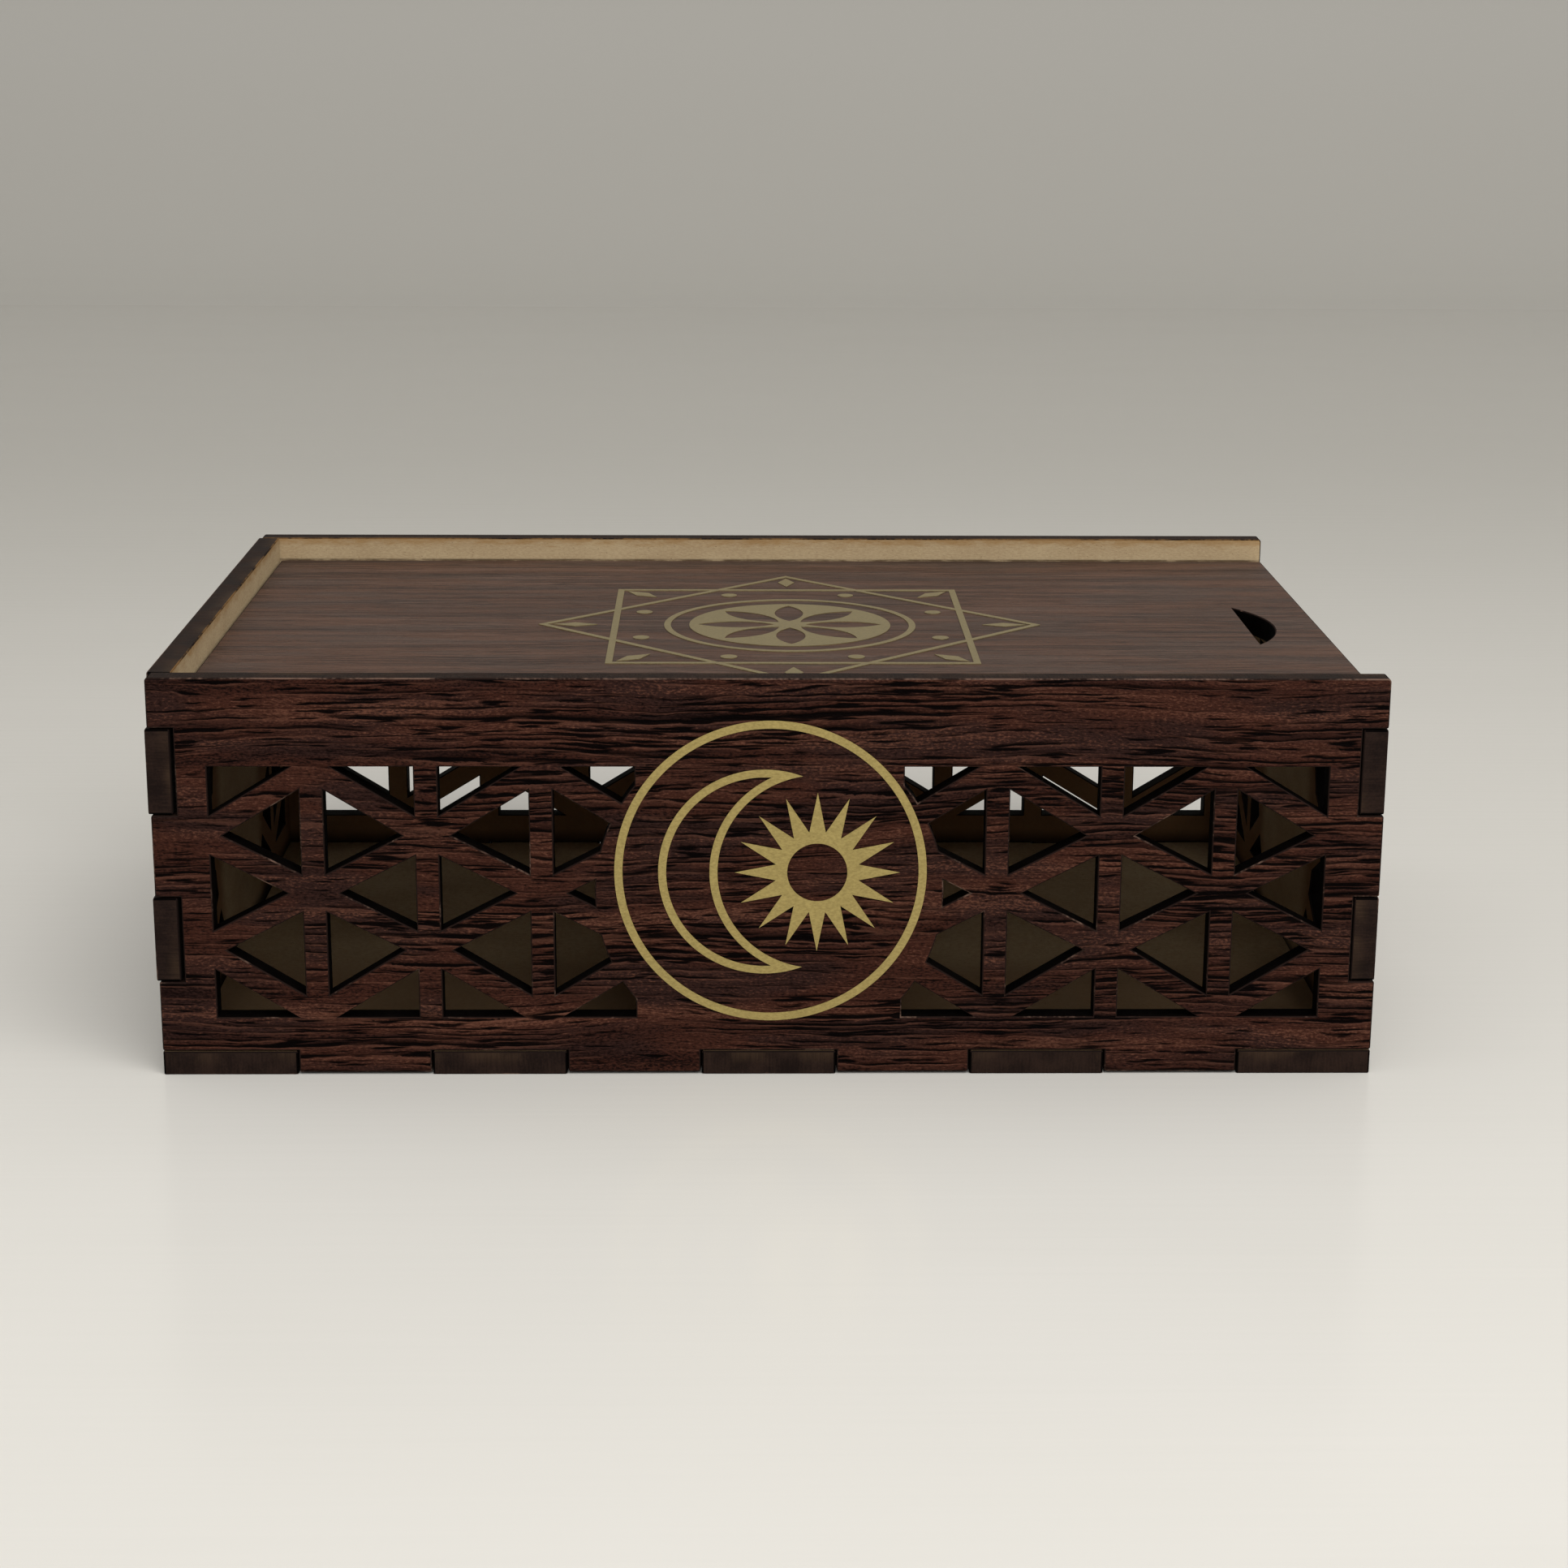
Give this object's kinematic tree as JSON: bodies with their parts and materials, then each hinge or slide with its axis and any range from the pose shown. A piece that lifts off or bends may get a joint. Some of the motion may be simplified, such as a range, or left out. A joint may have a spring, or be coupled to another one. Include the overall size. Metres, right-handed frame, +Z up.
{
  "type": "sliding lid box",
  "caption": "Low rectangular box of finger-jointed wood panels with triangle-lattice walls round a solid hub, gold sun and crescent print, and a flat lid that slides out at one end.",
  "frame": {"origin": "centre of the box's footprint, on the underside of the floor panel", "axes": "+X along the front towards the end where the lid slides out, +Y to the back, +Z up"},
  "size_m": [0.1503, 0.0961, 0.0505],
  "materials": {
    "veneered_board": "fibreboard with a dark wood-grain face outside, bare inside, scorched cut edges",
    "bare_board": "bare fibreboard",
    "gold_foil": "satin gold print"
  },
  "bodies": {
    "box": {"floor_panel": "veneered_board", "front_wall": "veneered_board", "back_wall": "veneered_board", "left_wall": "veneered_board", "right_wall": "veneered_board", "front_lid_runner": "bare_board", "back_lid_runner": "bare_board", "front_ring_foil": "gold_foil", "front_moon_foil": "gold_foil", "front_sun_foil": "gold_foil"},
    "lid": {"lid_panel": "veneered_board", "lid_disc_foil": "gold_foil", "lid_ring_foil": "gold_foil", "lid_star_foil": "gold_foil", "lid_lozenge_foil": "gold_foil"}
  },
  "joints": [
    {"name": "lid_slide", "type": "slide", "parent": "box", "child": "lid", "axis": [1, 0, 0], "range_m": [0, 0.144]}
  ]
}
